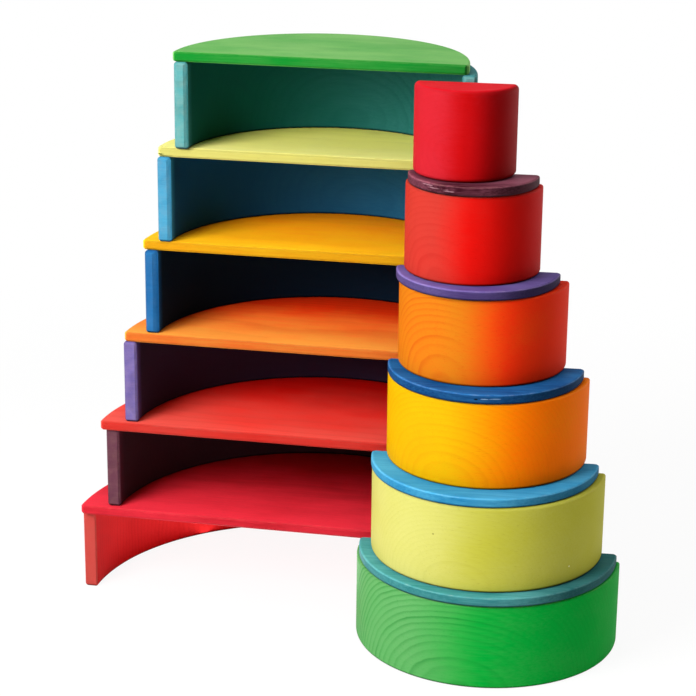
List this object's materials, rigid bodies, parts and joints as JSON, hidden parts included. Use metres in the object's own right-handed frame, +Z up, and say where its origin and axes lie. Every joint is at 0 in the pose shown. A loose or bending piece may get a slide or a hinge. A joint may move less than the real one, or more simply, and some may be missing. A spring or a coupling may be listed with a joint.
{
  "type": "wooden semicircle block set",
  "caption": "Loose half-round wooden arches that nest in each other, stacked in towers with thin semicircle boards between them as shelves and a solid half-round block on top.",
  "frame": {"origin": "middle of the floor that the two stacks cover, at table height", "axes": "+Z up, -Y towards the viewer of the picture, +X to the viewer's right"},
  "size_m": [0.458, 0.309, 0.4684],
  "materials": {
    "rose": "water stain on lime wood, oiled, satin to matt",
    "maroon": "water stain on lime wood, oiled, satin to matt",
    "violet": "water stain on lime wood, oiled, satin to matt",
    "blue": "water stain on lime wood, oiled, satin to matt",
    "sky": "water stain on lime wood, oiled, satin to matt",
    "teal": "water stain on lime wood, oiled, satin to matt",
    "green": "water stain on lime wood, oiled, satin to matt",
    "lime": "water stain on lime wood, oiled, satin to matt",
    "gold": "water stain on lime wood, oiled, satin to matt",
    "orange": "water stain on lime wood, oiled, satin to matt",
    "vermilion": "water stain on lime wood, oiled, satin to matt",
    "crimson": "water stain on lime wood, oiled, satin to matt"
  },
  "bodies": {
    "rose_arch": {"rose_arch": "rose"},
    "maroon_arch": {"maroon_arch": "maroon"},
    "violet_arch": {"violet_arch": "violet"},
    "blue_arch": {"blue_arch": "blue"},
    "sky_arch": {"sky_arch": "sky"},
    "teal_arch": {"teal_arch": "teal"},
    "green_arch": {"green_arch": "green"},
    "lime_arch": {"lime_arch": "lime"},
    "gold_arch": {"gold_arch": "gold"},
    "orange_arch": {"orange_arch": "orange"},
    "vermilion_arch": {"vermilion_arch": "vermilion"},
    "crimson_board": {"crimson_board": "crimson"},
    "vermilion_board": {"vermilion_board": "vermilion"},
    "orange_board": {"orange_board": "orange"},
    "gold_board": {"gold_board": "gold"},
    "lime_board": {"lime_board": "lime"},
    "green_board": {"green_board": "green"},
    "teal_board": {"teal_board": "teal"},
    "sky_board": {"sky_board": "sky"},
    "blue_board": {"blue_board": "blue"},
    "violet_board": {"violet_board": "violet"},
    "maroon_board": {"maroon_board": "maroon"},
    "crimson_half_round": {"crimson_half_round": "crimson"}
  },
  "joints": [
    {"name": "crimson_board_lift", "type": "slide", "parent": "rose_arch", "child": "crimson_board", "axis": [0, 0, 1], "range_m": [0, 0.06]},
    {"name": "maroon_arch_lift", "type": "slide", "parent": "crimson_board", "child": "maroon_arch", "axis": [0, 0, 1], "range_m": [0, 0.06]},
    {"name": "vermilion_board_lift", "type": "slide", "parent": "maroon_arch", "child": "vermilion_board", "axis": [0, 0, 1], "range_m": [0, 0.06]},
    {"name": "violet_arch_lift", "type": "slide", "parent": "vermilion_board", "child": "violet_arch", "axis": [0, 0, 1], "range_m": [0, 0.06]},
    {"name": "orange_board_lift", "type": "slide", "parent": "violet_arch", "child": "orange_board", "axis": [0, 0, 1], "range_m": [0, 0.06]},
    {"name": "blue_arch_lift", "type": "slide", "parent": "orange_board", "child": "blue_arch", "axis": [0, 0, 1], "range_m": [0, 0.06]},
    {"name": "gold_board_lift", "type": "slide", "parent": "blue_arch", "child": "gold_board", "axis": [0, 0, 1], "range_m": [0, 0.06]},
    {"name": "sky_arch_lift", "type": "slide", "parent": "gold_board", "child": "sky_arch", "axis": [0, 0, 1], "range_m": [0, 0.06]},
    {"name": "lime_board_lift", "type": "slide", "parent": "sky_arch", "child": "lime_board", "axis": [0, 0, 1], "range_m": [0, 0.06]},
    {"name": "teal_arch_lift", "type": "slide", "parent": "lime_board", "child": "teal_arch", "axis": [0, 0, 1], "range_m": [0, 0.06]},
    {"name": "green_board_lift", "type": "slide", "parent": "teal_arch", "child": "green_board", "axis": [0, 0, 1], "range_m": [0, 0.06]},
    {"name": "green_arch_push", "type": "slide", "parent": "rose_arch", "child": "green_arch", "axis": [0, -1, 0], "range_m": [0, 0.15]},
    {"name": "teal_board_lift", "type": "slide", "parent": "green_arch", "child": "teal_board", "axis": [0, 0, 1], "range_m": [0, 0.06]},
    {"name": "lime_arch_lift", "type": "slide", "parent": "teal_board", "child": "lime_arch", "axis": [0, 0, 1], "range_m": [0, 0.06]},
    {"name": "sky_board_lift", "type": "slide", "parent": "lime_arch", "child": "sky_board", "axis": [0, 0, 1], "range_m": [0, 0.06]},
    {"name": "gold_arch_lift", "type": "slide", "parent": "sky_board", "child": "gold_arch", "axis": [0, 0, 1], "range_m": [0, 0.06]},
    {"name": "blue_board_lift", "type": "slide", "parent": "gold_arch", "child": "blue_board", "axis": [0, 0, 1], "range_m": [0, 0.06]},
    {"name": "orange_arch_lift", "type": "slide", "parent": "blue_board", "child": "orange_arch", "axis": [0, 0, 1], "range_m": [0, 0.06]},
    {"name": "violet_board_lift", "type": "slide", "parent": "orange_arch", "child": "violet_board", "axis": [0, 0, 1], "range_m": [0, 0.06]},
    {"name": "vermilion_arch_lift", "type": "slide", "parent": "violet_board", "child": "vermilion_arch", "axis": [0, 0, 1], "range_m": [0, 0.06]},
    {"name": "maroon_board_lift", "type": "slide", "parent": "vermilion_arch", "child": "maroon_board", "axis": [0, 0, 1], "range_m": [0, 0.06]},
    {"name": "crimson_half_round_lift", "type": "slide", "parent": "maroon_board", "child": "crimson_half_round", "axis": [0, 0, 1], "range_m": [0, 0.06]}
  ]
}
